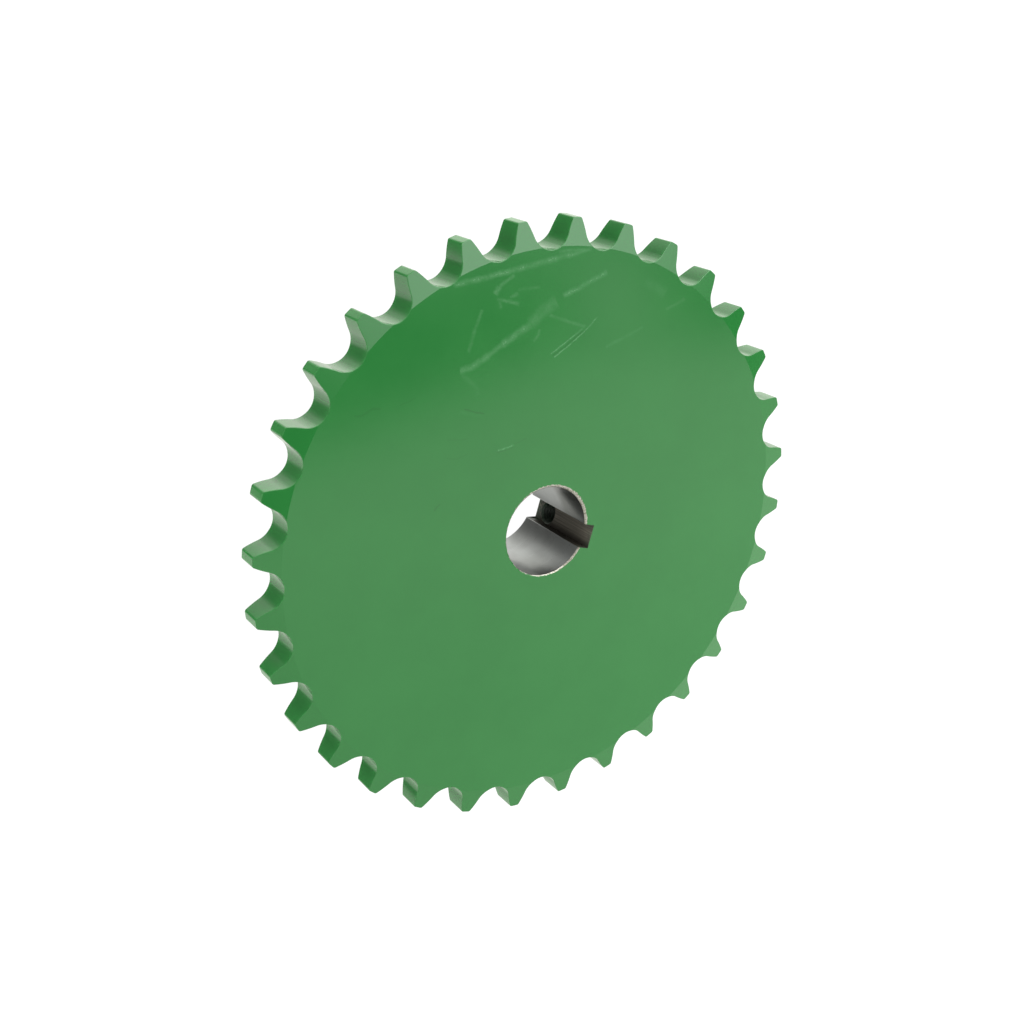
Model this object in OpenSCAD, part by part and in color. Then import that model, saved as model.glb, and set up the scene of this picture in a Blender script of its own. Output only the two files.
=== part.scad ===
// Roller chain sprocket for a single strand: a toothed plate with a plain hub behind it,
// a keyed bore and a tapped hole for a set screw in the hub.
// The axis is Z. The hub's end face lies on Z = 0 and the plate's front face is on top.
// The keyway opens towards +X. Sizes are in millimetres.

/* [Chain and teeth] */
// Number of teeth
teeth = 32; // [20:1:60]
// Pitch of the chain that runs on the teeth
chain_pitch = 19.05; // [17:0.05:26]
// Diameter of the chain's rollers
roller_d = 12.07; // [10:0.01:13]
// Play between a roller and its seat, on the radius
roller_play = 0.35; // [0.05:0.05:0.6]
// Angle of the arc on which a roller is seated
seat_angle = 139; // [125:1:145]
// Radius of the convex flank above the seat
flank_r = 33; // [24:1:60]
// Height of the tooth tips above the pitch circle
tip_rise = 3; // [2:0.1:4]
// Radius of the rounding at both corners of a tooth's tip
tip_round = 0.8; // [0.3:0.1:1.2]

/* [Plate] */
// Thickness of the plate
plate_t = 11.1; // [8:0.1:16]
// Flat rim that is left outside the gap bottoms before the teeth narrow
relief_start = 0.9; // [0.2:0.1:3]
// Narrowing of each side of a tooth, measured at its tip
relief_depth = 1.45; // [0.4:0.05:2.5]

/* [Hub] */
// Outer diameter of the hub
hub_d = 65; // [50:1:120]
// Length of the hub behind the plate
hub_l = 21; // [14:0.5:60]
// Chamfer on the rim of the hub's end face
hub_chamfer = 1.5; // [0.5:0.1:3]
// Fillet between the hub and the plate
hub_fillet = 2.5; // [1:0.1:5]

/* [Bore and keyway] */
// Diameter of the bore
bore_d = 30; // [20:0.5:36]
// Chamfer at both mouths of the bore
bore_chamfer = 0.6; // [0.2:0.1:1.5]
// Width of the keyway
keyway_w = 8; // [5:0.5:12]
// Depth of the keyway, from the bore's wall at its middle to the floor
keyway_depth = 3.3; // [2:0.1:5]

/* [Set screw] */
// Core diameter of the tapped hole
screw_core_d = 6.8; // [3.3:0.1:8.5]
// Height of the tapped hole's axis above the hub's end face
screw_height = 6.5; // [5.5:0.1:10]
// Countersink at the hole's outer mouth
screw_sink = 0.6; // [0.2:0.1:1]

/* [Hidden] */
$fn = 96;
// Length by which a cutting shape passes the face it opens
overcut = 1;
// Angle at which the rounding of a tip meets the flank and the tip circle
tip_blend = 15;

paint_green = [0.30, 0.54, 0.32];

pitch_r = chain_pitch / 2 / sin(180 / teeth);
seat_r = roller_d / 2 + roller_play;
root_r = pitch_r - seat_r;
tip_r = pitch_r + tip_rise;
relief_r = root_r + relief_start;
bore_r = bore_d / 2;
hub_r = hub_d / 2;
total_l = hub_l + plate_t;
key_floor = bore_r + keyway_depth;

// For a gap on the +X axis: the end of its seat on the +Y side, and the centre of the flank that starts there
seat_end = [pitch_r - seat_r * cos(seat_angle / 2), seat_r * sin(seat_angle / 2)];
flank_centre = [pitch_r - (seat_r + flank_r) * cos(seat_angle / 2), (seat_r + flank_r) * sin(seat_angle / 2)];

// What is cut from the corner of the tooth on the gap's +Y side, so that its tip is round.
// The arc's centre lies equally far inside the flank and inside the tip circle.
module tip_corner() {
    inset = tip_round * cos(tip_blend);
    reach = tip_r - inset;
    flank_far = norm(flank_centre);
    turn = acos((flank_far ^ 2 + reach ^ 2 - (flank_r - inset) ^ 2) / (2 * flank_far * reach));
    bearing = atan2(flank_centre[1], flank_centre[0]) - turn;
    to_tip = [cos(bearing), sin(bearing)];
    middle = reach * to_tip;
    to_flank = (middle - flank_centre) / norm(middle - flank_centre);
    past = tip_round + overcut;
    difference() {
        polygon([middle, middle + past * to_flank, middle + past * (to_flank + to_tip), middle + past * to_tip]);
        translate(middle) circle(tip_round);
    }
}

// One gap between two teeth, on the +X axis: the roller's seat and the mouth that the flanks leave open.
// The flank arcs touch the seat's arc at its two ends.
module tooth_gap() {
    mouth_x = tip_r + overcut;
    mouth_y = chain_pitch / 2;
    translate([pitch_r, 0]) circle(seat_r);
    difference() {
        polygon([seat_end, [mouth_x, mouth_y], [mouth_x, -mouth_y], [seat_end[0], -seat_end[1]]]);
        for (side = [-1, 1])
            translate([flank_centre[0], side * flank_centre[1]]) circle(flank_r);
    }
    tip_corner();
    mirror([0, 1]) tip_corner();
}

// Outline of the toothed rim. One tooth is centred on +X, in line with the keyway.
module tooth_outline() {
    difference() {
        circle(tip_r + overcut);
        for (i = [0 : teeth - 1])
            rotate((i + 0.5) * 360 / teeth) tooth_gap();
    }
}

// Turned blank: half section of the hub, the fillet, the plate and the narrowed rim.
module blank_section() {
    difference() {
        polygon([
            [0, 0],
            [hub_r - hub_chamfer, 0],
            [hub_r, hub_chamfer],
            [hub_r, hub_l - hub_fillet],
            [hub_r + hub_fillet, hub_l],
            [relief_r, hub_l],
            [tip_r, hub_l + relief_depth],
            [tip_r, total_l - relief_depth],
            [relief_r, total_l],
            [0, total_l]
        ]);
        translate([hub_r + hub_fillet, hub_l - hub_fillet]) circle(hub_fillet);
    }
}

// Bore with a chamfer at each mouth, as the half section of what is cut away.
module bore_section() {
    mouth_r = bore_r + bore_chamfer;
    polygon([
        [0, -overcut],
        [mouth_r, -overcut],
        [mouth_r, 0],
        [bore_r, bore_chamfer],
        [bore_r, total_l - bore_chamfer],
        [mouth_r, total_l],
        [mouth_r, total_l + overcut],
        [0, total_l + overcut]
    ]);
}

// Straight keyway through the whole length.
module keyway() {
    translate([0, -keyway_w / 2, -overcut])
        cube([key_floor, keyway_w, total_l + 2 * overcut]);
}

// Tapped hole from the keyway's floor out through the hub, with a countersunk mouth.
module screw_hole() {
    core_r = screw_core_d / 2;
    translate([0, 0, screw_height]) rotate([0, 90, 0]) {
        cylinder(r = core_r, h = hub_r + overcut);
        translate([0, 0, hub_r - screw_sink])
            cylinder(r1 = core_r, r2 = core_r + screw_sink + overcut, h = screw_sink + overcut);
    }
}

module sprocket() {
    color(paint_green)
    difference() {
        intersection() {
            rotate_extrude() blank_section();
            linear_extrude(total_l) tooth_outline();
        }
        rotate_extrude() bore_section();
        keyway();
        screw_hole();
    }
}

sprocket();
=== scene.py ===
# %% [markdown]
# # A green chain sprocket, modelled and painted
#
# A roller chain sprocket is one piece of steel: a plate with 32 teeth, a hub behind it, a bore with a
# keyway, and a tapped hole for the set screw that holds it on its shaft. This one is sprayed green all
# over, and its bore is left bare. The lesson models it again with Blender's own tools, with finer arcs and
# broken edges than the frame's solid has, and then gives it its paint, its steel and the marks of handling.
#
# The frame comes first. It is the finished solid in metres, lying on its hub with the toothed face on top.
# Its box is kept, because nothing that is modelled here may grow out of it.

# %% Load the frame
import math

import bpy
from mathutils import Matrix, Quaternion, Vector


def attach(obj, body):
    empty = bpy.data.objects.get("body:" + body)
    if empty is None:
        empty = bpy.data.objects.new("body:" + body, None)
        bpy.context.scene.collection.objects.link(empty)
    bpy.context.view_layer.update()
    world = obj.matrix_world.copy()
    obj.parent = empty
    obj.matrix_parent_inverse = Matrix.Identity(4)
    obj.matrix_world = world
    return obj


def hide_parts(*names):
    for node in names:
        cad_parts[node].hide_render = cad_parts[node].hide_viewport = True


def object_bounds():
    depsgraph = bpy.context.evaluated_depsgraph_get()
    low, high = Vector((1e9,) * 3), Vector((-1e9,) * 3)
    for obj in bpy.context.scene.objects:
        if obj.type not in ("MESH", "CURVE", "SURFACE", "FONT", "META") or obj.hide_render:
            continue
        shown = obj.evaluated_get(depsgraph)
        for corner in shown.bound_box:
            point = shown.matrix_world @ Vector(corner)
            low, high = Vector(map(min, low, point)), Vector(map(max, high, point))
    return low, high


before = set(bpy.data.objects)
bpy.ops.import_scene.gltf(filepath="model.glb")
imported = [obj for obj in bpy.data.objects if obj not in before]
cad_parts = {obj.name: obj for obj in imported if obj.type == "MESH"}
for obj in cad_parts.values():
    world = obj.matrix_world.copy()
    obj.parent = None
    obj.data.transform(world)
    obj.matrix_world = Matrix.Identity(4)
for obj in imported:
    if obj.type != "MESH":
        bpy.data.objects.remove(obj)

cad_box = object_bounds()
MM = 0.001
print("frame holds", sorted(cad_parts), "in a box of",
      [round((high - low) / MM, 1) for low, high in zip(*cad_box)], "mm")

# %% [markdown]
# ## Where the picture is taken from
#
# The photographer looked down on the toothed face at a slant. The camera's place is given the way one would
# say it: how far it stands round the object, how high, how far away, and how much it is rolled about its
# own line of sight. A tracking quaternion aims it, and one more turn about its own axis rolls it.

# %% Camera
CAMERA_AZIMUTH = math.radians(161.0)
CAMERA_ELEVATION = math.radians(52.31)
CAMERA_ROLL = math.radians(120.51)
CAMERA_DISTANCE = 466 * MM
LENS_LENGTH = 52.08
SENSOR_WIDTH = 36
AIM = Vector((-15.3 * MM, 5.1 * MM, cad_box[1].z))


def toward(azimuth, elevation):
    """Unit vector that points round by azimuth from +X and up by elevation, both in radians."""
    level = math.cos(elevation)
    return Vector((level * math.cos(azimuth), level * math.sin(azimuth), math.sin(elevation)))


line_of_sight = toward(CAMERA_AZIMUTH, CAMERA_ELEVATION)
bpy.ops.object.select_all(action="DESELECT")
bpy.ops.object.camera_add(location=AIM + CAMERA_DISTANCE * line_of_sight)
camera = bpy.context.active_object
camera.rotation_mode = "QUATERNION"
camera.rotation_quaternion = (-line_of_sight).to_track_quat("-Z", "Y") @ Quaternion((0, 0, 1), CAMERA_ROLL)
camera.data.lens = LENS_LENGTH
camera.data.sensor_width = SENSOR_WIDTH
bpy.context.scene.camera = camera
print("camera stands at", [round(c / MM) for c in camera.location], "mm")

# %% [markdown]
# ## Sizes
#
# The same few sizes drive the solid and this model: the chain's pitch and roller, the plate, the hub and
# the bore. What the frame can tell is read from it. The rest are the sizes that a maker would quote. One
# size differs: the bore's chamfer is narrower here than in the solid, because the paint fills its outer
# part.

# %% Sizes of the sprocket
TEETH = 32
CHAIN_PITCH = 19.05 * MM
SEAT_R = 6.385 * MM
SEAT_HALF_ANGLE = math.radians(69.5)
FLANK_R = 33 * MM
TIP_ROUND = 0.8 * MM
RELIEF_START = 0.9 * MM
RELIEF_DEPTH = 1.45 * MM
PLATE_T = 11.1 * MM
HUB_R = 32.5 * MM
HUB_CHAMFER = 1.5 * MM
HUB_FILLET = 2.5 * MM
BORE_R = 15 * MM
BORE_CHAMFER = 0.35 * MM
KEY_HALF_WIDTH = 4 * MM
KEY_FLOOR = 18.3 * MM
SCREW_R = 3.4 * MM
SCREW_Z = 6.5 * MM

TOP = cad_box[1].z
BACK = TOP - PLATE_T
TIP_R = cad_box[1].x
PITCH_R = CHAIN_PITCH / 2 / math.sin(math.pi / TEETH)
ROOT_R = PITCH_R - SEAT_R
RELIEF_R = ROOT_R + RELIEF_START
MOUTH_R = BORE_R + BORE_CHAMFER
print("pitch circle", round(2 * PITCH_R / MM, 2), "mm, tips", round(2 * TIP_R / MM, 2), "mm across")

# %% [markdown]
# ## Working by hand, in code
#
# Every shape below starts from one vertex, as a draughtsman starts from one point: it is extruded into
# lines and spun into arcs. Without a window, Blender's spin turns clockwise for a positive angle, so the
# helper gives it the negative, and an angle here is counter-clockwise as in geometry books. Selections are
# made by place.

# %% Helpers for modelling
CLOSE = 0.001 * MM


def edit(piece):
    bpy.context.view_layer.objects.active = piece
    bpy.ops.object.mode_set(mode="EDIT")
    bpy.ops.mesh.select_mode(type="VERT")


def new_point(place):
    """Adds one selected vertex to the mesh in edit mode."""
    bpy.ops.mesh.select_all(action="DESELECT")
    bpy.ops.mesh.primitive_plane_add(size=MM)
    bpy.ops.mesh.merge(type="CENTER")
    bpy.ops.transform.translate(value=place)


def line_by(step):
    bpy.ops.mesh.extrude_vertices_move(TRANSFORM_OT_translate={"value": step})


def arc(angle, centre, steps, axis=(0, 0, 1), copies=False):
    bpy.ops.mesh.spin(steps=steps, angle=-angle, center=centre, axis=axis, dupli=copies)


def pick(piece, test):
    """Selects the vertices whose place passes the test, with the edges and faces between them."""
    bpy.ops.object.mode_set(mode="OBJECT")
    chosen = [bool(test(v.co)) for v in piece.data.vertices]
    piece.data.vertices.foreach_set("select", chosen)
    for edge in piece.data.edges:
        edge.select = all(chosen[i] for i in edge.vertices)
    for face in piece.data.polygons:
        face.select = all(chosen[i] for i in face.vertices)
    edit(piece)
    return sum(chosen)


def near(a, b):
    return abs(a - b) < CLOSE


def radius(place):
    return math.hypot(place.x, place.y)


def start_piece(name):
    """An empty mesh object at the origin, in edit mode."""
    bpy.ops.object.select_all(action="DESELECT")
    bpy.ops.mesh.primitive_plane_add(size=MM)
    piece = bpy.context.active_object
    piece.name = name
    edit(piece)
    bpy.ops.mesh.select_all(action="SELECT")
    bpy.ops.mesh.delete(type="VERT")
    return piece


print("helpers ready")

# %% [markdown]
# ## One tooth
#
# A sprocket tooth is two hollow seats with two bulging flanks between them and a short land on top. The
# half outline is drawn from the bottom of a seat: along the seat to where the tooth starts to narrow, on to
# the end of the seat, up the flank's arc, round the corner and along the land to the middle of the tooth.
# The arcs touch without a corner where their centres and their meeting point lie on one line, and each
# centre is found that way.

# %% Half outline of a tooth
HALF_PITCH = math.pi / TEETH
SEAT_STEPS = 12
FLANK_STEPS = 8
ROUND_STEPS = 4
LAND_STEPS = 3

seat_centre = toward(HALF_PITCH, 0) * PITCH_R
seat_to_relief = math.acos((PITCH_R ** 2 + SEAT_R ** 2 - RELIEF_R ** 2) / (2 * PITCH_R * SEAT_R))
seat_end_direction = HALF_PITCH + math.pi + SEAT_HALF_ANGLE
flank_centre = seat_centre + toward(seat_end_direction, 0) * (SEAT_R + FLANK_R)
flank_start = seat_end_direction - math.pi
flank_bearing = math.atan2(flank_centre.y, flank_centre.x)
to_round = FLANK_R - TIP_ROUND
flank_turn = math.acos(((TIP_R - TIP_ROUND) ** 2 - flank_centre.length_squared - to_round ** 2)
                       / (2 * flank_centre.length * to_round))
flank_end = flank_bearing + math.copysign(flank_turn, flank_start - flank_bearing)
round_centre = flank_centre + toward(flank_end, 0) * to_round
land_angle = math.atan2(round_centre.y, round_centre.x)

sprocket = start_piece("painted_sprocket")
new_point(toward(HALF_PITCH, 0) * ROOT_R + Vector((0, 0, TOP)))
arc(seat_to_relief, seat_centre, SEAT_STEPS // 3)
arc(SEAT_HALF_ANGLE - seat_to_relief, seat_centre, SEAT_STEPS)
arc(flank_end - flank_start, flank_centre, FLANK_STEPS)
arc(land_angle - flank_end, round_centre, ROUND_STEPS)
arc(-land_angle, (0, 0, 0), LAND_STEPS)
bpy.ops.mesh.select_all(action="SELECT")
bpy.ops.mesh.duplicate()
bpy.ops.transform.mirror(constraint_axis=(False, True, False), center_override=(0, 0, 0))
bpy.ops.mesh.select_all(action="SELECT")
bpy.ops.mesh.remove_doubles(threshold=CLOSE)
print("tooth land is", round(2 * land_angle * TIP_R / MM, 2), "mm wide")

# %% [markdown]
# ## The tooth's thickness and its narrowed sides
#
# The outline is drawn down through the plate's thickness, which makes the wall that the rollers touch. The
# real tooth is turned thinner towards its tip on both sides so that the chain finds its way, so each
# outline point outside the relief circle moves in by its share. One arc across the foot of the tooth closes
# each sloping side, which is then filled.

# %% Walls and sloping sides of the tooth
bpy.ops.mesh.extrude_edges_move(TRANSFORM_OT_translate={"value": (0, 0, -PLATE_T)})
bpy.ops.object.mode_set(mode="OBJECT")
for vertex in sprocket.data.vertices:
    sink = max(0, radius(vertex.co) - RELIEF_R) / (TIP_R - RELIEF_R) * RELIEF_DEPTH
    vertex.co.z += -sink if near(vertex.co.z, TOP) else sink
edit(sprocket)

MIDDLE = (TOP + BACK) / 2
foot = next(v.co.copy() for v in sprocket.data.vertices if near(radius(v.co), RELIEF_R) and v.co.y < 0)
foot_angle = abs(math.atan2(foot.y, foot.x))
for front in (True, False):
    level = TOP if front else BACK
    pick(sprocket, lambda p: near(p.z, level) and near(radius(p), RELIEF_R) and p.y < 0)
    arc(2 * foot_angle, (0, 0, 0), 2 * LAND_STEPS)
    bpy.ops.mesh.select_all(action="SELECT")
    bpy.ops.mesh.remove_doubles(threshold=CLOSE)
    pick(sprocket, lambda p: (p.z > MIDDLE) == front and radius(p) > RELIEF_R - CLOSE)
    bpy.ops.mesh.edge_face_add()
print("one tooth has", len(sprocket.data.vertices), "vertices")

# %% [markdown]
# ## Thirty-two teeth
#
# The tooth is copied round the axis by a spin that duplicates, and the seams are merged.

# %% Ring of teeth
bpy.ops.mesh.select_all(action="SELECT")
arc(2 * math.pi * (TEETH - 1) / TEETH, (0, 0, 0), TEETH - 1, copies=True)
bpy.ops.mesh.select_all(action="SELECT")
bpy.ops.mesh.remove_doubles(threshold=CLOSE)
bpy.ops.object.mode_set(mode="OBJECT")
print("ring of teeth has", len(sprocket.data.vertices), "vertices")

# %% [markdown]
# ## The bore and its keyway
#
# The bore's mouth is drawn as one line: across the keyway's floor, along its side, round the chamfer's rim
# and back. The round part then goes down in three steps, chamfer, wall and chamfer, and the floor goes down
# in one. The chamfer's smaller rim would pull the ends of the arc off the keyway's flat sides, so those
# ends are put back on them. Each flat side is then filled between its six corners.

# %% Bore and keyway
BORE_STEPS = 120
edit(sprocket)
key_at_mouth = math.sqrt(MOUTH_R ** 2 - KEY_HALF_WIDTH ** 2)
key_at_bore = math.sqrt(BORE_R ** 2 - KEY_HALF_WIDTH ** 2)
key_gap = math.asin(KEY_HALF_WIDTH / MOUTH_R)

new_point((KEY_FLOOR, -KEY_HALF_WIDTH, TOP))
line_by((0, 2 * KEY_HALF_WIDTH, 0))
line_by((key_at_mouth - KEY_FLOOR, 0, 0))
arc(2 * math.pi - 2 * key_gap, (0, 0, 0), BORE_STEPS)
line_by((KEY_FLOOR - key_at_mouth, 0, 0))
pick(sprocket, lambda p: radius(p) < KEY_FLOOR + KEY_HALF_WIDTH)
bpy.ops.mesh.remove_doubles(threshold=CLOSE)

pick(sprocket, lambda p: near(radius(p), MOUTH_R))
for step_r, step_z in ((BORE_R, TOP - BORE_CHAMFER), (BORE_R, BORE_CHAMFER), (MOUTH_R, 0)):
    bpy.ops.mesh.extrude_edges_move()
    bpy.ops.object.mode_set(mode="OBJECT")
    for vertex in sprocket.data.vertices:
        if vertex.select:
            bearing = math.atan2(vertex.co.y, vertex.co.x)
            on_side = abs(bearing) < key_gap + math.pi / BORE_STEPS
            side = math.sqrt(step_r ** 2 - KEY_HALF_WIDTH ** 2)
            vertex.co.x = side if on_side else step_r * math.cos(bearing)
            vertex.co.y = math.copysign(KEY_HALF_WIDTH, bearing) if on_side else step_r * math.sin(bearing)
            vertex.co.z = step_z
    edit(sprocket)

pick(sprocket, lambda p: near(p.x, KEY_FLOOR) and near(abs(p.y), KEY_HALF_WIDTH))
bpy.ops.mesh.extrude_edges_move(TRANSFORM_OT_translate={"value": (0, 0, -TOP)})
for side in (-1, 1):
    pick(sprocket, lambda p: near(p.y, side * KEY_HALF_WIDTH) and 0 < p.x < KEY_FLOOR + CLOSE)
    bpy.ops.mesh.edge_face_add()
print("bore wall is", round((TOP - 2 * BORE_CHAMFER) / MM, 1), "mm long, keyway floor at", KEY_FLOOR / MM)

# %% [markdown]
# ## The hub, and the flat faces that join everything
#
# The hub is turned: its half section is a chamfer, a straight side and a hollow fillet into the plate, and
# one full spin makes the solid of it. Three flat faces then close the body, each bridged between two loops:
# the front face, the back of the plate, and the hub's end.

# %% Hub and flat faces
HUB_STEPS = 128
FILLET_STEPS = 6
new_point((HUB_R - HUB_CHAMFER, 0, 0))
line_by((HUB_CHAMFER, 0, HUB_CHAMFER))
line_by((0, 0, BACK - HUB_FILLET - HUB_CHAMFER))
arc(math.pi / 2, (HUB_R + HUB_FILLET, 0, BACK - HUB_FILLET), FILLET_STEPS, axis=(0, 1, 0))
pick(sprocket, lambda p: near(p.y, 0) and HUB_R - 2 * HUB_CHAMFER < p.x < HUB_R + HUB_FILLET + CLOSE)
arc(2 * math.pi, (0, 0, 0), HUB_STEPS)
bpy.ops.mesh.select_all(action="SELECT")
bpy.ops.mesh.remove_doubles(threshold=CLOSE)

rim_inside = RELIEF_R + CLOSE
front_loops = pick(sprocket, lambda p: near(p.z, TOP) and radius(p) < rim_inside)
bpy.ops.mesh.bridge_edge_loops()
back_loops = pick(sprocket, lambda p: near(p.z, BACK) and HUB_R < radius(p) < rim_inside)
bpy.ops.mesh.bridge_edge_loops()
end_loops = pick(sprocket, lambda p: near(p.z, 0) and radius(p) < HUB_R)
bpy.ops.mesh.bridge_edge_loops()
bpy.ops.mesh.select_all(action="SELECT")
bpy.ops.mesh.normals_make_consistent(inside=False)
bpy.ops.mesh.select_all(action="DESELECT")
bpy.ops.mesh.select_non_manifold()
bpy.ops.object.mode_set(mode="OBJECT")
open_edges = sum(edge.select for edge in sprocket.data.edges)
print("loops of", front_loops, back_loops, end_loops, "vertices are bridged;", open_edges, "edges are open")

# %% [markdown]
# ## The tapped hole
#
# A thread is a helix, but in a hole 14 mm deep its turns read as rings, and rings leave both mouths plain
# circles. The tap is drawn as a zigzag, spun into a ridged rod and cut out of the body with a Boolean. It
# opens to the thread's full width at the keyway's floor, and its outer end flares for the countersink.

# %% Tapped hole for the set screw
THREAD_PITCH = 1.25 * MM
THREAD_DEPTH = 0.55 * MM
COUNTERSINK = 0.6 * MM
TAP_STEPS = 48
PAST = 1 * MM

tap = start_piece("tap")
new_point((KEY_FLOOR - PAST, 0, 0))
line_by((0, SCREW_R + THREAD_DEPTH, 0))
line_by((PAST, 0, 0))
thread_length = HUB_R - COUNTERSINK - KEY_FLOOR
turns = int(thread_length / THREAD_PITCH)
for turn in range(turns):
    if turn > 0:
        line_by((THREAD_PITCH / 2, THREAD_DEPTH, 0))
    line_by((THREAD_PITCH / 2, -THREAD_DEPTH, 0))
line_by((thread_length - (turns - 0.5) * THREAD_PITCH, 0, 0))
line_by((COUNTERSINK + PAST, COUNTERSINK + PAST, 0))
line_by((0, -SCREW_R - COUNTERSINK - PAST, 0))
bpy.ops.mesh.select_all(action="SELECT")
arc(2 * math.pi, (0, 0, 0), TAP_STEPS, axis=(1, 0, 0))
bpy.ops.mesh.select_all(action="SELECT")
bpy.ops.mesh.remove_doubles(threshold=CLOSE)
bpy.ops.mesh.normals_make_consistent(inside=False)
bpy.ops.transform.translate(value=(0, 0, SCREW_Z))
bpy.ops.object.mode_set(mode="OBJECT")

bpy.ops.object.select_all(action="DESELECT")
bpy.context.view_layer.objects.active = sprocket
sprocket.select_set(True)
bpy.ops.object.modifier_add(type="BOOLEAN")
drilling = sprocket.modifiers[-1]
drilling.operation = "DIFFERENCE"
drilling.solver = "EXACT"
drilling.object = tap
bpy.ops.object.modifier_apply(modifier=drilling.name)
bpy.data.objects.remove(tap)
print("tapped", turns, "turns; the body has", len(sprocket.data.polygons), "faces")

# %% [markdown]
# ## Broken edges
#
# Machined edges are deburred and then rounded a little more by the paint. The sharp edges of the toothed
# rim get a small bevel, the keyway's long edges a smaller one. Weighted normals keep the flat faces flat
# beside them. The blunt edge where a tooth's side starts to slope is marked sharp, so that its shading
# stays crisp.

# %% Broken edges
RIM_BREAK = 0.2 * MM
KEY_BREAK = 0.15 * MM
RIM_SEGMENTS = 3
KEY_SEGMENTS = 2
SHARP = math.radians(50)
SMOOTH_BELOW = math.radians(38)
FLAT = 0.9999
SAME_TILT = 0.002


def bevel_sharp(test, width, segments):
    """Bevels the sharp edges whose two ends both pass the test."""
    edit(sprocket)
    bpy.ops.mesh.select_mode(type="EDGE")
    bpy.ops.mesh.select_all(action="DESELECT")
    bpy.ops.mesh.edges_select_sharp(sharpness=SHARP)
    bpy.ops.object.mode_set(mode="OBJECT")
    points = sprocket.data.vertices
    for edge in sprocket.data.edges:
        edge.select = edge.select and all(test(points[i].co) for i in edge.vertices)
    for face in sprocket.data.polygons:
        face.select = False
    count = sum(edge.select for edge in sprocket.data.edges)
    bpy.ops.object.mode_set(mode="EDIT")
    bpy.ops.mesh.bevel(offset=width, segments=segments, affect="EDGES", clamp_overlap=True)
    bpy.ops.object.mode_set(mode="OBJECT")
    return count


def on_key_edge(place):
    return near(abs(place.y), KEY_HALF_WIDTH) and near(place.x, key_at_bore)


rim_edges = bevel_sharp(lambda p: radius(p) > ROOT_R - CLOSE, RIM_BREAK, RIM_SEGMENTS)
for vertex in sprocket.data.vertices:
    if radius(vertex.co) > ROOT_R - 2 * RIM_BREAK:
        vertex.co.z = min(max(vertex.co.z, BACK), TOP)
key_edges = bevel_sharp(on_key_edge, KEY_BREAK, KEY_SEGMENTS)
bpy.ops.object.shade_smooth_by_angle(angle=SMOOTH_BELOW)
relief_tilt = math.cos(math.atan2(RELIEF_DEPTH, TIP_R - RELIEF_R))
tilts = {}
for face in sprocket.data.polygons:
    for key in face.edge_keys:
        tilts.setdefault(key, []).append(abs(face.normal.z))
crisp = 0
for edge in sprocket.data.edges:
    sloping, flat = sorted(tilts[edge.key])
    if flat > FLAT and abs(sloping - relief_tilt) < SAME_TILT:
        edge.use_edge_sharp = True
        crisp += 1
bpy.ops.object.modifier_add(type="WEIGHTED_NORMAL")
weighting = sprocket.modifiers[-1]
weighting.keep_sharp = True
bpy.ops.object.modifier_apply(modifier=weighting.name)
print("broke", rim_edges, "rim edges and", key_edges, "in the keyway;", crisp, "edges stay crisp")

# %% [markdown]
# ## Shader arithmetic
#
# A finish is mostly arithmetic on a few patterns. This class wraps one output of a shader node, so that a
# sum or a product in Python adds the Math node that does it. Everything else, from noise to the shader
# itself, comes from its one method for making a node.

# %% Class for shader arithmetic


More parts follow.
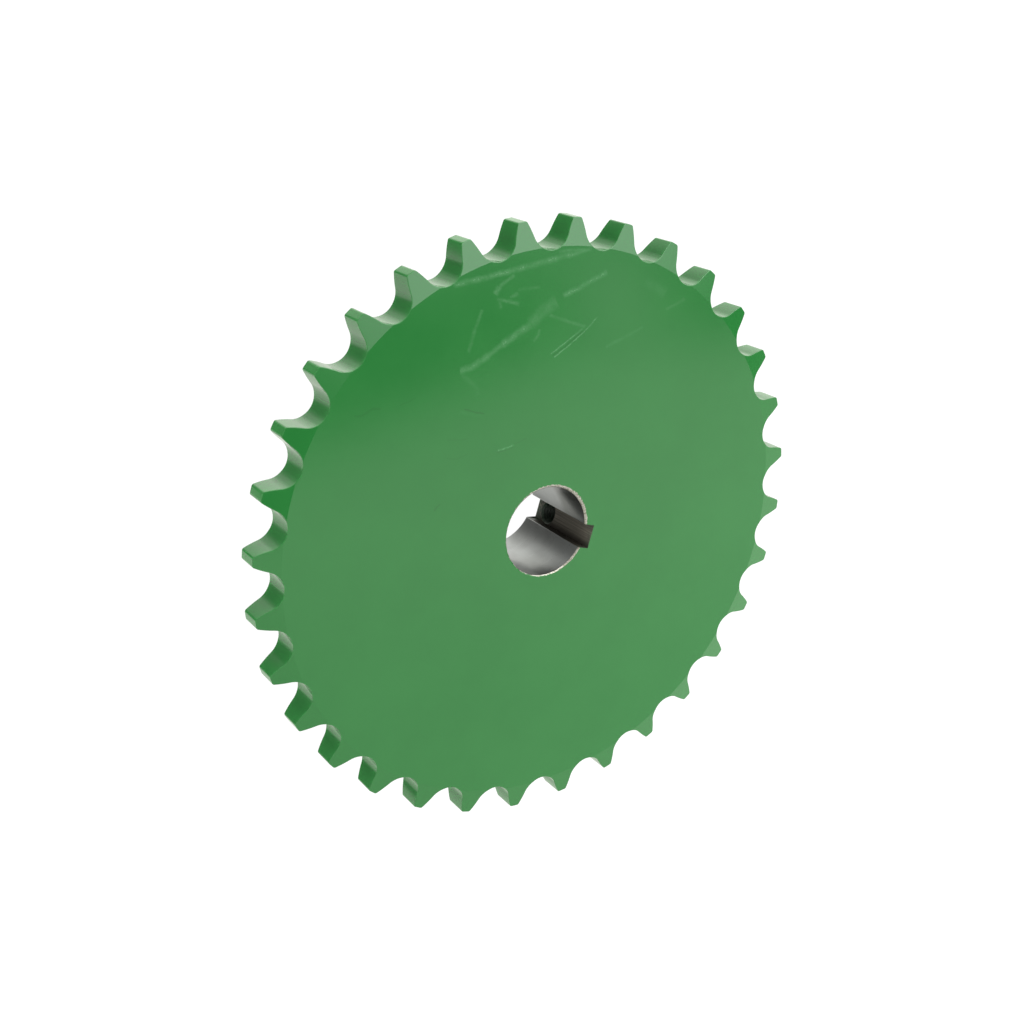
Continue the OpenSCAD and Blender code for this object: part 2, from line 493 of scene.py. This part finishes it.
class Wire:
    """One output in a node tree. Arithmetic on it adds Math nodes."""

    def __init__(self, tree, socket=None):
        self.tree = tree
        self.socket = socket

    def node(self, kind, settings=None, inputs=None, output=0):
        """Adds a node, sets its settings, then its sockets' values or links, and returns one output."""
        made = self.tree.nodes.new(kind)
        for name, value in (settings or {}).items():
            setattr(made, name, value)
        for name, value in (inputs or {}).items():
            if isinstance(value, Wire):
                self.tree.links.new(value.socket, made.inputs[name])
            else:
                made.inputs[name].default_value = value
        return Wire(self.tree, made.outputs[output] if made.outputs else None)

    def math(self, operation, first, second=0.0):
        return self.node("ShaderNodeMath", {"operation": operation}, {0: first, 1: second})

    def __add__(self, other):
        return self.math("ADD", self, other)

    def __radd__(self, other):
        return self.math("ADD", other, self)

    def __sub__(self, other):
        return self.math("SUBTRACT", self, other)

    def __rsub__(self, other):
        return self.math("SUBTRACT", other, self)

    def __mul__(self, other):
        return self.math("MULTIPLY", self, other)

    def __rmul__(self, other):
        return self.math("MULTIPLY", other, self)

    def __abs__(self):
        return self.math("ABSOLUTE", self)

    def larger(self, other):
        return self.math("MAXIMUM", self, other)

    def smooth(self, low, high):
        """Goes softly from 0 at low to 1 at high, whichever of the two is the larger number."""
        rising = low < high
        limits = {"From Min": min(low, high), "From Max": max(low, high),
                  "To Min": 0.0 if rising else 1.0, "To Max": 1.0 if rising else 0.0}
        return self.node("ShaderNodeMapRange", {"interpolation_type": "SMOOTHSTEP"},
                         {"Value": self, **limits})

    def vector_math(self, operation, *values, output=0):
        return self.node("ShaderNodeVectorMath", {"operation": operation}, dict(enumerate(values)), output)

    def dot(self, vector):
        return self.vector_math("DOT_PRODUCT", self, vector, output="Value")

    def moved(self, vector):
        return self.vector_math("ADD", self, vector)

    def scaled(self, vector):
        return self.vector_math("MULTIPLY", self, vector)

    def length(self):
        return self.vector_math("LENGTH", self, output="Value")

    def parts(self):
        first = self.node("ShaderNodeSeparateXYZ", None, {0: self})
        return [Wire(self.tree, output) for output in first.socket.node.outputs]

    def mix(self, first, second):
        """Colour that goes from first to second as this value goes from 0 to 1."""
        return self.node("ShaderNodeMix", {"data_type": "RGBA"}, {0: self, 6: first, 7: second}, 2)

    def noise(self, scale, detail=2.0, roughness=0.5):
        return self.node("ShaderNodeTexNoise", None,
                         {"Vector": self, "Scale": scale, "Detail": detail, "Roughness": roughness})

    def shaken(self, scale, reach):
        """This place moved about by a noise of the given scale, by up to half of reach each way."""
        noise = self.node("ShaderNodeTexNoise", None, {"Vector": self, "Scale": scale}, "Color")
        offset = self.vector_math("SUBTRACT", noise, (0.5, 0.5, 0.5))
        return self.vector_math("MULTIPLY_ADD", offset, (reach, reach, 0), self)

    def bump(self, strength, distance):
        return self.node("ShaderNodeBump", None,
                         {"Strength": strength, "Distance": distance, "Height": self})


def new_material(name):
    """A material with an empty node tree, and Object coordinates in millimetres to start from."""
    material = bpy.data.materials.new(name)
    material.use_nodes = True
    material.node_tree.nodes.clear()
    start = Wire(material.node_tree)
    place = start.node("ShaderNodeTexCoord", output="Object").scaled((1 / MM, 1 / MM, 1 / MM))
    return material, place


def show(start, sockets):
    """Adds the shader with the values and links of its sockets, and the output that shows it."""
    shader = start.node("ShaderNodeBsdfPrincipled", None, sockets)
    start.node("ShaderNodeOutputMaterial", None, {"Surface": shader})


print("shader class ready")

# %% [markdown]
# ## Light and floor
#
# The object was shot in a tent of white cloth. Glossy paint mirrors such a tent as much as it takes light
# from it, so the tent is written as brightness by direction, in the world: one large lamp with a soft rim,
# white cloth that ends in two straight edges overhead, a bright strip all round at table height, a window
# low on one side, and the dim room that shows below and behind the camera. Where the cloth ends there is a
# gap, and a fold and a seam of cloth hang into it. Directions are named here by their azimuth and elevation
# in degrees.

# %% Directions and powers in the light tent


def facing(azimuth, elevation):
    return toward(math.radians(azimuth), math.radians(elevation))


def patch(look, centre, outer, inner):
    """1 within the inner angle of a direction, falling to 0 at the outer one, both in degrees."""
    return look.dot(centre).smooth(math.cos(math.radians(outer)), math.cos(math.radians(inner)))


CLOTH_TOP = (0.07, 0.437, 0.897)
CLOTH_SIDE = (0.205, -0.951, -0.23)
CLOTH_COLOUR = (1.0, 0.985, 0.93, 1)
LAMP = facing(50, 56)
SIDE_LAMP = facing(75, 30)
WINDOW = facing(-15, 20)
OVERHEAD = facing(0, 60)
FOLD = facing(-4.2, 52)
SEAM = facing(0.5, 43.5)
LAMP_POWER = 4.0
SIDE_LAMP_POWER = 3.2
BACKDROP = 1.0
STRIP_POWER = 4.4
STRIP_FRONT_POWER = 1.8
STRIP_DIMMED = 0.9
GLOW_POWER = 0.33
WINDOW_POWER = 0.55
TABLE_POWER = 0.6
ROOM_SHADE = 0.82
CAMERA_SHADE = 0.8
print("main lamp points from", [round(c, 2) for c in LAMP])

# %% [markdown]
# Each part of the tent is a smooth step on a dot product: a plane's normal gives a straight edge, and a
# direction gives a round patch. The strip at table height lights the teeth well, but a glossy face seen
# from low down would mirror it as a white glare, so it is dimmed for mirrored rays. The camera itself sees
# a plain pale backdrop.

# %% Light tent
world = bpy.data.worlds.new("light_tent")
bpy.context.scene.world = world
world.use_nodes = True
world.node_tree.nodes.clear()
sky = Wire(world.node_tree)
look = sky.node("ShaderNodeTexCoord", output="Generated")
to_right, to_back, up = look.parts()

beside = look.dot(CLOTH_SIDE)
within_edges = beside.smooth(-0.015, 0.04) * look.dot(CLOTH_TOP).smooth(0.745, 0.71)
fold = 0.3 * patch(look, FOLD, 3.4, 0) + 0.6 * patch(look, FOLD, 1.9, 0.6)
hanging = fold + 0.3 * patch(look, SEAM, 5, 1)
gap = up.smooth(0.48, 0.53) * patch(look, OVERHEAD, 40, 34) * (1 - within_edges) * (1 - hanging)
glow = beside.smooth(0.27, 0.1) * up.smooth(0.5, 0.6)
below = up.smooth(-0.25, -0.5)
rear = to_back.smooth(-0.1, 0.1)
room = below * (to_right.smooth(-0.39, -0.46) * (1 - rear) + to_right.smooth(-0.22, -0.5) * rear)
table = TABLE_POWER * below * to_right.smooth(-0.17, 0.08) * to_back.smooth(0.1, 0.45)
mirrored = sky.node("ShaderNodeLightPath", output="Is Glossy Ray")
strip_power = STRIP_POWER + STRIP_FRONT_POWER * to_back.smooth(0, -0.7)
strip = abs(up).smooth(0.3, 0.15) * strip_power * (1 - STRIP_DIMMED * mirrored)
by_camera = patch(look, line_of_sight, 26, 14)
window = patch(look, WINDOW, 18, 5)
cloth = 1.0 + GLOW_POWER * glow + WINDOW_POWER * window + table
tent = cloth * (1 - gap) * (1 - ROOM_SHADE * room) * (1 - CAMERA_SHADE * by_camera) + strip
lamp = LAMP_POWER * patch(look, LAMP, 33, 6) + SIDE_LAMP_POWER * patch(look, SIDE_LAMP, 38, 12)
print("tent has", len(world.node_tree.nodes), "nodes so far")

# %% [markdown]
# The lamp is whiter than the cloth, so the two are added as two Background shaders. A Light Path node keeps
# the tent out of the camera's own view. One light is an object: a small reflector card close beside the
# part, which brightens the near side of the face more than the far side.

# %% Lamp, backdrop and floor
FLOOR_SIZE = 30
FLOOR_BELOW = 0.2 * MM
PAPER = (0.06, 0.06, 0.06, 1)
WHITE = (1, 1, 1, 1)

seen = sky.node("ShaderNodeLightPath", output="Is Camera Ray")
cloth_light = sky.node("ShaderNodeBackground", None,
                       {"Color": CLOTH_COLOUR, "Strength": (1 - seen) * tent})
lamp_light = sky.node("ShaderNodeBackground", None,
                      {"Color": WHITE, "Strength": (1 - seen) * lamp + seen * BACKDROP})
both = sky.node("ShaderNodeAddShader", None, {0: cloth_light, 1: lamp_light})
sky.node("ShaderNodeOutputWorld", None, {"Surface": both})

CARD_AT = Vector((0.26, -0.06, 0.16))
CARD_SIZE = 0.25
CARD_POWER = 0.55
bpy.ops.object.select_all(action="DESELECT")
bpy.ops.object.light_add(type="AREA", location=CARD_AT)
card = bpy.context.active_object
card.name = "reflector_card"
card.rotation_mode = "QUATERNION"
card.rotation_quaternion = (Vector((0, 0, TOP)) - CARD_AT).to_track_quat("-Z", "Y")
card.data.size = CARD_SIZE
card.data.energy = CARD_POWER
card.visible_camera = False
card.visible_glossy = False

bpy.ops.object.select_all(action="DESELECT")
bpy.ops.mesh.primitive_plane_add(size=FLOOR_SIZE, location=(0, 0, cad_box[0].z - FLOOR_BELOW))
floor = bpy.context.active_object
floor.name = "floor"
paper, paper_place = new_material("white_paper")
show(paper_place, {"Base Color": PAPER, "Roughness": 0.9, "Specular IOR Level": 0.0,
                   "Emission Color": WHITE, "Emission Strength": 1.0})
floor.data.materials.append(paper)
floor.visible_diffuse = False
floor.visible_glossy = False
floor.visible_transmission = False
floor.visible_shadow = False
bpy.context.scene.view_settings.view_transform = "Standard"
print("tent has", len(world.node_tree.nodes), "nodes; the floor is", FLOOR_SIZE, "m wide")

# %% [markdown]
# ## Green paint
#
# The paint is a thin glossy enamel on turned steel. Close by it shows a faint orange peel and slow changes
# of tone, and the face has the scuffs of other parts that it was shipped with: pale lines where the gloss
# is rubbed dull, and a few grooves whose shaded side is painted dark, as painted shade. Each scuff is
# listed as a chain of points on the face, in millimetres, with its width and its strength.

# %% Paint colours and scuffs
PAINT = (0.0133, 0.1091, 0.0229, 1)
PAINT_DEEP = (0.0115, 0.102, 0.0208, 1)
PAINT_RUBBED = (0.040, 0.157, 0.055, 1)
DENT_SHADE_COLOUR = (0.008, 0.055, 0.013, 1)
RUBS = (
    (2.2, 0.62, ((-56.5, 70.4), (-45.5, 75), (-36, 79.3), (-27.5, 83.2), (-17, 88))),
    (1.6, 0.5, ((-17, 88), (-12.5, 90.2))),
    (1.3, 0.43, ((-23.5, 87), (-14.5, 89.5))),
    (2.6, 0.56, ((-47.2, 46), (-43.5, 47.8), (-39, 52))),
    (2.1, 0.43, ((-39, 52), (-35, 56.2))),
    (2.9, 0.62, ((-35, 56.2), (-31, 60), (-27, 63.8))),
    (4.8, 0.37, ((-27, 64), (-24.5, 68), (-20, 72.2))),
    (2.1, 0.62, ((-18, 74.5), (-13.3, 77.6), (-8.5, 81.4), (-4.5, 84.3))),
    (1.4, 0.37, ((-21, 67.7), (-13, 67), (-7.2, 66.7))),
    (0.7, 0.7, ((-16.7, 56.4), (-8, 65.6))),
    (0.7, 0.8, ((-15.3, 55.5), (-11, 60), (-7, 64.8), (-3.5, 70.2))),
    (2.4, 0.5, ((-42.2, 70.3), (-41.5, 72.8))),
    (1.4, 0.37, ((-41.5, 72.8), (-37.3, 77))),
    (1.4, 0.43, ((-41, 69.2), (-33.2, 69))),
    (1.4, 0.31, ((-36.7, 70.4), (-34.3, 72))),
    (1.3, 0.25, ((-40.4, 69.4), (-39, 66.6))),
    (1.4, 0.31, ((-45.2, 65), (-46, 59), (-46, 52.2))),
    (1.3, 0.31, ((-23.4, 63), (-23.2, 61), (-24.4, 59))),
    (1.4, 0.31, ((3.2, 62), (9, 66), (15, 70.3))),
    (1.3, 0.19, ((-34.5, 73.2), (-27.5, 75.2))),
    (4.2, 0.19, ((11.5, 84.6), (20, 82.3))),
    (1.4, 0.25, ((22.5, 77.6), (28.6, 82))),
    (1.9, 0.19, ((-46, 44.8), (-40.2, 42), (-39, 39.7))),
    (1.4, 0.19, ((-43.5, 33.8), (-36, 33.6))),
    (1.0, 0.9, ((-26.5, 24), (-21.5, 26.2))),
)
# Dark strokes are painted shade: the shaded sides of grooves, drawn into the colour.
DENT_SHADES = (
    (0.4, 0.8, ((-16, 56), (-11.5, 60.4), (-7.5, 65.2))),
    (0.6, 0.7, ((-42, 34.7), (-35.4, 34.5))),
    (0.4, 0.6, ((-26.6, 23.3), (-21.4, 25.5))),
    (0.4, 0.4, ((-21, 26.8), (-17.5, 29))),
    (0.9, 0.4, ((-78.3, 27.5), (-75.7, 28), (-73, 30.6), (-70.5, 30.7))),
    (0.4, 0.4, ((-64.3, 32.8), (-60, 35.6))),
    (0.5, 0.3, ((-45.5, 24.7), (-39, 25.8))),
    (0.5, 0.3, ((-44, 19.1), (-40.6, 19.3), (-37.2, 21.3))),
    (0.7, 0.6, ((-43.6, 2.6), (-42.4, 4.7))),
)
print(len(RUBS), "rubs and", len(DENT_SHADES), "dent_shades")

# %% [markdown]
# A Mapping node turns a stroke's length and width into the range from -1 to 1, and the strongest stroke
# wins at each place. The coordinates are first shaken by noise, so that no stroke is quite straight, and
# two more noises break the rubs up.

# %% Scuffs as masks


def stroke(place, start, end, width):
    """1 along a straight line from start to end, in millimetres, falling to 0 beside it and past its ends."""
    run = Vector(end) - Vector(start)
    middle = (Vector(end) + Vector(start)) / 2
    local = place.node("ShaderNodeMapping", {"vector_type": "TEXTURE"},
                       {"Vector": place, "Location": (*middle, 0),
                        "Rotation": (0, 0, math.atan2(run.y, run.x)),
                        "Scale": (run.length / 2, width / 2, 1)})
    along, beside, _ = local.parts()
    return abs(along).smooth(1.15, 0.95) * abs(beside).smooth(1.3, 0)


def drawn(place, chains):
    """The strongest of all the strokes at each place."""
    strongest = None
    for width, strength, points in chains:
        for start, end in zip(points, points[1:]):
            line = strength * stroke(place, start, end, width)
            strongest = line if strongest is None else strongest.larger(line)
    return strongest


paint, place = new_material("green_enamel")
shaken = place.shaken(0.5, 0.8)
on_face = place.parts()[2].smooth(TOP / MM - 0.4, TOP / MM - 0.1)
grit = place.noise(1.5, detail=4, roughness=0.7).smooth(0.28, 0.58)
patchy = place.noise(0.35).smooth(0.32, 0.6)
marks = drawn(shaken, RUBS) * on_face * (0.45 + 0.55 * grit) * (0.55 + 0.6 * patchy)
dent_shades = drawn(shaken, DENT_SHADES) * on_face
print("the scuffs take", len(paint.node_tree.nodes), "nodes")

# %% [markdown]
# The paint's tone, its gloss and the bare rim come together in one shader. At the bore's mouth the reamer
# cut the paint away, a little off centre, so bare steel shows up to a ragged edge. Bare steel is metallic,
# so the same ragged mask drives Metallic, colour and roughness.

# %% Green enamel
STEEL = (0.42, 0.41, 0.37, 1)
STEEL_STAINED = (0.2, 0.19, 0.15, 1)
BARE_EDGE = 15.5
BARE_EDGE_BLUR = 0.05
BARE_SHIFT = (-0.22, -0.34, 0)

tone = place.noise(0.03, detail=7, roughness=0.68)
ragged = place.noise(1.1, detail=3, roughness=0.6)
brown = place.noise(1.9).smooth(0.42, 0.62)
reamed = place.moved(BARE_SHIFT).scaled((1, 1, 0)).length()
bare = (reamed + 1.2 * (ragged - 0.5)).smooth(BARE_EDGE + BARE_EDGE_BLUR, BARE_EDGE - BARE_EDGE_BLUR)
painted = tone.smooth(0.3, 0.7).mix(PAINT_DEEP, PAINT)
painted = (0.8 * marks).mix(painted, PAINT_RUBBED)
# The dark strokes darken the paint's colour as painted shade of the grooves.
painted = (0.7 * dent_shades).mix(painted, DENT_SHADE_COLOUR)
peel = place.noise(0.7)
show(place, {
    "Base Color": bare.mix(painted, brown.mix(STEEL, STEEL_STAINED)),
    "Metallic": bare,
    "Roughness": 0.09 + 0.05 * tone + 0.25 * marks + 0.4 * bare,
    "Normal": peel.bump(0.25, 0.02 * MM),
    "IOR": 1.5,
})
print("enamel has", len(paint.node_tree.nodes), "nodes")

# %% [markdown]
# ## Bare steel
#
# The bore is turned, so its tool marks are fine rings round the axis: noise that is squeezed along it. Two
# parts of the wall are painted darker, as painted shade, and each is a smooth step on height and on side.

# %% Turned bore
TURNED_PALE = (0.306, 0.322, 0.324, 1)
TURNED_DULL = (0.255, 0.267, 0.266, 1)
WALL_SHADE_COLOUR = (0.19, 0.2, 0.194, 1)

turned, place = new_material("turned_steel")
rings = place.scaled((0.06, 0.06, 5)).noise(1.0, detail=4, roughness=0.6)
stain = place.noise(0.12, detail=3, roughness=0.6)
_, y, z = place.parts()
# Painted shade: two parts of the bore wall are coloured darker, by height and by side.
wall_shade = (z + 0.5 * y).smooth(19.5, 24) * y.smooth(0, 2) + 0.7 * z.smooth(10, 22) * y.smooth(-9, -14.5)
steel = stain.smooth(0.35, 0.75).mix(TURNED_PALE, TURNED_DULL)
show(place, {"Base Color": wall_shade.mix(steel, WALL_SHADE_COLOUR), "Metallic": 1.0,
             "Roughness": 0.24 + 0.1 * rings, "Normal": rings.bump(0.3, 0.01 * MM)})
print("turned steel has", len(turned.node_tree.nodes), "nodes")

# %% [markdown]
# The keyway is broached, so its lines run along it. It is painted darker towards one of its sides, as
# painted shade, and a little green mist from the spray gun lies at both ends.

# %% Broached keyway
BROACHED_DARK = (0.075, 0.068, 0.054, 1)
BROACHED_PALE = (0.20, 0.185, 0.155, 1)
SIDE_SHADE_COLOUR = (0.02, 0.017, 0.012, 1)
GREEN_MIST = (0.018, 0.034, 0.02, 1)

broached, place = new_material("broached_steel")
streaks = place.scaled((2.5, 2.5, 0.06)).noise(1.0, detail=4, roughness=0.65)
_, y, z = place.parts()
# Painted shade: the keyway is coloured darker towards its side at -Y.
side_shade = y.smooth(-0.5, -3.8)
spray = place.noise(0.9, detail=3, roughness=0.6).smooth(0.25, 0.6)
overspray = (z.smooth(4, 2.5) + 0.5 * z.smooth(29, 31)) * spray
steel = streaks.smooth(0.3, 0.7).mix(BROACHED_DARK, BROACHED_PALE)
steel = (0.85 * side_shade).mix(steel, SIDE_SHADE_COLOUR)
show(place, {"Base Color": overspray.mix(steel, GREEN_MIST), "Metallic": 0.5 - 0.5 * overspray,
             "Roughness": 0.4 + 0.2 * streaks, "Normal": streaks.bump(0.5, 0.02 * MM)})
print("broached steel has", len(broached.node_tree.nodes), "nodes")

# %% [markdown]
# The tapped hole holds some of the paint that was sprayed into it, and its colour is painted much darker than
# that paint, as painted shade of the deep hole.

# %% Tapped hole's finish
THREAD_DARK = (0.012, 0.03, 0.016, 1)
THREAD_PALE = (0.035, 0.06, 0.04, 1)

tapped, place = new_material("shaded_thread")
mottle = place.noise(0.8, detail=3, roughness=0.6)
# The thread's colour is painted shade, mottled by noise.
show(place, {"Base Color": mottle.smooth(0.35, 0.7).mix(THREAD_DARK, THREAD_PALE),
             "Roughness": 0.3 + 0.3 * mottle, "Normal": mottle.bump(0.3, 0.02 * MM)})
print("shaded thread has", len(tapped.node_tree.nodes), "nodes")

# %% [markdown]
# ## Which face gets which finish
#
# Each face is judged by where its middle lies: inside the bore's rim, inside the keyway, round the set
# screw's axis, or on the painted outside. The way it faces settles the rest: the flat ends and the chamfers
# are painted, and so is the hub's side round the tapped hole.

# %% Finish by place
UPRIGHT = 0.5
HUB_FACING = 0.9
for finish in (paint, turned, broached, tapped):
    sprocket.data.materials.append(finish)
PAINTED, TURNED, BROACHED, TAPPED = range(4)
counts = [0, 0, 0, 0]
for face in sprocket.data.polygons:
    centre = face.center
    upright = abs(face.normal.z) < UPRIGHT
    near_screw = math.hypot(centre.y, centre.z - SCREW_Z) < SCREW_R + THREAD_DEPTH
    in_thread = near_screw and KEY_FLOOR + CLOSE < centre.x < HUB_R - CLOSE
    near_key = abs(centre.y) < KEY_HALF_WIDTH + CLOSE
    in_keyway = near_key and key_at_bore - KEY_BREAK < centre.x < KEY_FLOOR + CLOSE
    if in_thread and face.normal.x < HUB_FACING:
        face.material_index = TAPPED
    elif in_keyway and upright:
        face.material_index = BROACHED
    elif radius(centre) < MOUTH_R and upright:
        face.material_index = TURNED
    counts[face.material_index] += 1
print("faces painted, turned, broached and tapped:", counts)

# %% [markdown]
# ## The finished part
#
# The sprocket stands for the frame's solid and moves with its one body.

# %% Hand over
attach(sprocket, "root")
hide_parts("sprocket")
